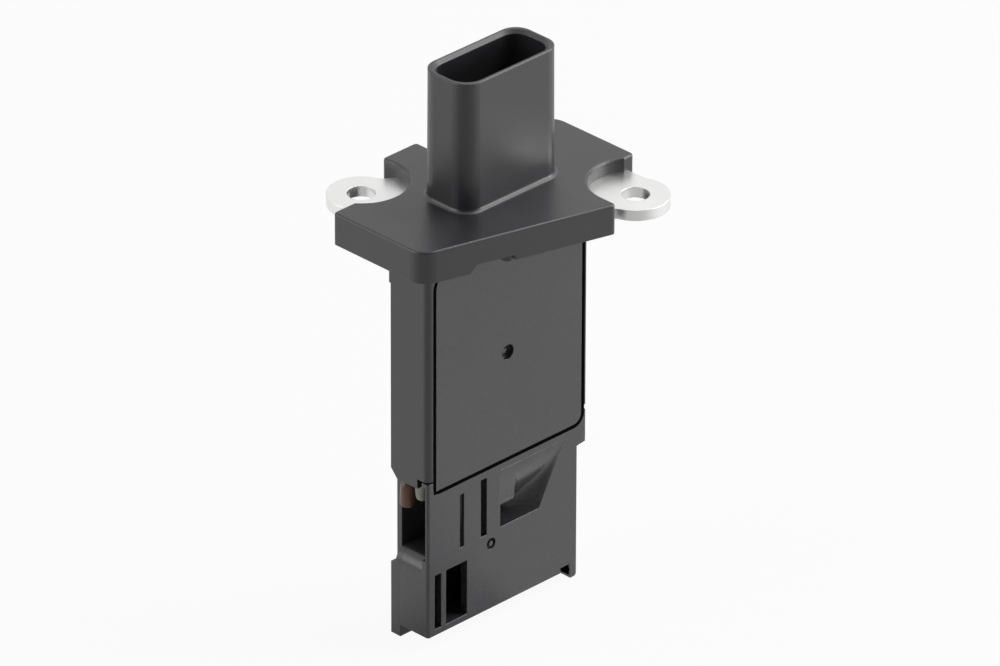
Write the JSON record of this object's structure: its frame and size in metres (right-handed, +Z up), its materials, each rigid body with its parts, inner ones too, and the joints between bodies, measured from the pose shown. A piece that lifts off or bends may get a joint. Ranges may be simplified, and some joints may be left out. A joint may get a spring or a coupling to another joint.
{
  "type": "mass airflow sensor",
  "caption": "Plug-in mass airflow sensor: moulded flange with connector shroud, metal ears with screw holes, flat probe with inlet mouth, bypass channel and outlet scoop",
  "frame": {"origin": "Midway between the two screw holes, on the underside of the metal ears", "axes": "+Z up, out through the connector along the screw holes' axes; X along the wide faces of the flat probe, the air inlet is towards -X; Y through the probe's thickness, the covers face -Y"},
  "size_m": [0.0547, 0.0478, 0.1131],
  "materials": {
    "black_plastic": "glass-filled moulding, satin",
    "plated_steel": "bright zinc plating on stamped steel",
    "black_sealant": "cured silicone bead",
    "pale_plastic": "fine moulded resin",
    "brown_resin": "dipped resin coating",
    "clear_gel": "clear soft silicone gel",
    "tinned_brass": "tin plating on brass strip",
    "tinned_wire": "tinned wire",
    "bond_ribbon": "bright bonded ribbon",
    "base_aluminium": "rolled sheet",
    "grey_adhesive": "heat-conducting film",
    "board_ceramic": "fired alumina with printed tracks",
    "chip_resin": "moulded chip package",
    "capacitor_ceramic": "fired ceramic with tinned ends",
    "element_glass": "polished thin film chip"
  },
  "bodies": {
    "root": {"main_housing": "black_plastic", "mounting_plate": "plated_steel", "circuit_cover": "black_plastic", "circuit_cover_seal": "black_sealant", "bypass_cover": "black_plastic", "sensor_carrier": "pale_plastic", "carrier_seal": "black_sealant", "thermistor": "brown_resin", "protective_gel": "clear_gel", "terminal_1": "tinned_brass", "terminal_2": "tinned_brass", "terminal_3": "tinned_brass", "terminal_4": "tinned_brass", "terminal_5": "tinned_brass", "thermistor_lead_outer": "tinned_wire", "thermistor_lead_inner": "tinned_wire", "jumper_ribbon_1": "bond_ribbon", "jumper_ribbon_2": "bond_ribbon", "jumper_ribbon_3": "bond_ribbon", "jumper_ribbon_4": "bond_ribbon", "jumper_ribbon_5": "bond_ribbon", "base_plate": "base_aluminium", "base_adhesive": "grey_adhesive", "board_adhesive": "grey_adhesive", "circuit_board": "board_ceramic", "control_chip": "chip_resin", "capacitor_1": "capacitor_ceramic", "capacitor_2": "capacitor_ceramic", "capacitor_3": "capacitor_ceramic", "capacitor_4": "capacitor_ceramic", "resistor_1": "chip_resin", "resistor_2": "chip_resin", "resistor_3": "chip_resin", "flow_element": "element_glass", "element_sealant": "black_sealant"}
  },
  "joints": []
}
